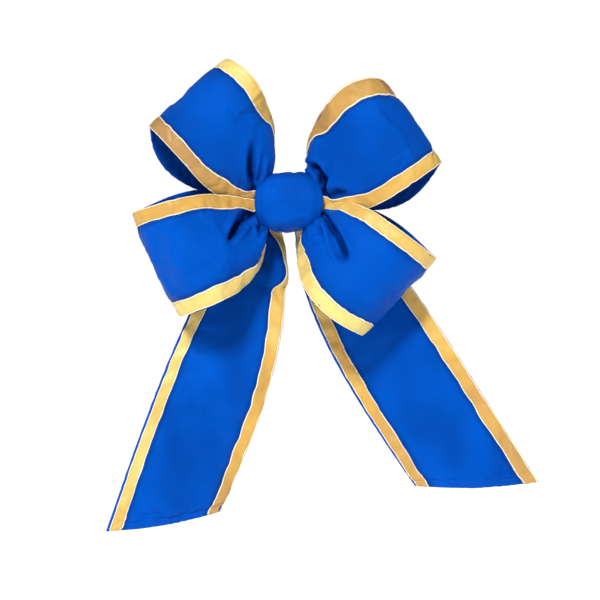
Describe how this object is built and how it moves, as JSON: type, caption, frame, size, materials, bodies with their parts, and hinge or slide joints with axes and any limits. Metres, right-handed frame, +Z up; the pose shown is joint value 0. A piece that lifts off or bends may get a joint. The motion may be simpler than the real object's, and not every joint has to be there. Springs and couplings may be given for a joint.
{
  "type": "gift bow",
  "caption": "Pre-made padded fabric bow: edge-trimmed loops and slanted tails gathered into a puffy centre knot, with a felt pad and hanging loop behind.",
  "frame": {"origin": "centre of the back pad's rear face, level with the middle of the knot", "axes": "+Z up when the bow hangs, +Y out of the back towards the gift or wall, +X to the viewer's right; the bow faces -Y"},
  "size_m": [0.543, 0.1104, 0.5914],
  "materials": {
    "blue_fabric": "matte",
    "gold_trim": "satin",
    "batting": "matte",
    "felt": "matte",
    "webbing": "matte",
    "tie_plastic": "satin"
  },
  "bodies": {
    "knot": {"back_pad": "felt", "gather_core": "blue_fabric", "gather_tie": "tie_plastic", "hanging_loop": "webbing", "knot_batting": "batting", "knot_cover": "blue_fabric"},
    "upper_left_loop": {"upper_left_loop_batting": "batting", "upper_left_loop_cover": "blue_fabric", "upper_left_loop_crown_trim": "gold_trim", "upper_left_loop_mouth_trim": "gold_trim"},
    "lower_left_loop": {"lower_left_loop_batting": "batting", "lower_left_loop_cover": "blue_fabric", "lower_left_loop_crown_trim": "gold_trim", "lower_left_loop_mouth_trim": "gold_trim"},
    "upper_right_loop": {"upper_right_loop_batting": "batting", "upper_right_loop_cover": "blue_fabric", "upper_right_loop_crown_trim": "gold_trim", "upper_right_loop_mouth_trim": "gold_trim"},
    "lower_right_loop": {"lower_right_loop_batting": "batting", "lower_right_loop_cover": "blue_fabric", "lower_right_loop_crown_trim": "gold_trim", "lower_right_loop_mouth_trim": "gold_trim"},
    "left_tail": {"left_tail_batting": "batting", "left_tail_cover": "blue_fabric", "left_tail_inner_trim": "gold_trim", "left_tail_outer_trim": "gold_trim"},
    "right_tail": {"right_tail_batting": "batting", "right_tail_cover": "blue_fabric", "right_tail_inner_trim": "gold_trim", "right_tail_outer_trim": "gold_trim"}
  },
  "joints": [
    {"name": "upper_left_loop_tilt", "type": "hinge", "parent": "knot", "child": "upper_left_loop", "pos_m": [-0.0325, -0.0447, 0.012], "axis": [0.7996, 0, 0.6005], "range_deg": [-12, 11]},
    {"name": "lower_left_loop_tilt", "type": "hinge", "parent": "knot", "child": "lower_left_loop", "pos_m": [-0.0325, -0.0447, -0.012], "axis": [-0.4568, 0, 0.8896], "range_deg": [0, 12]},
    {"name": "upper_right_loop_tilt", "type": "hinge", "parent": "knot", "child": "upper_right_loop", "pos_m": [0.0325, -0.0447, 0.011], "axis": [0.5892, 0, -0.808], "range_deg": [-12, 11]},
    {"name": "lower_right_loop_tilt", "type": "hinge", "parent": "knot", "child": "lower_right_loop", "pos_m": [0.034, -0.0447, -0.014], "axis": [-0.7122, 0, -0.702], "range_deg": [0, 9]},
    {"name": "left_tail_swing", "type": "hinge", "parent": "knot", "child": "left_tail", "pos_m": [-0.022, -0.00635, 0], "axis": [0, 1, 0], "range_deg": [-4, 15]},
    {"name": "right_tail_swing", "type": "hinge", "parent": "knot", "child": "right_tail", "pos_m": [0.022, -0.00635, 0], "axis": [0, -1, 0], "range_deg": [-4, 15]}
  ]
}
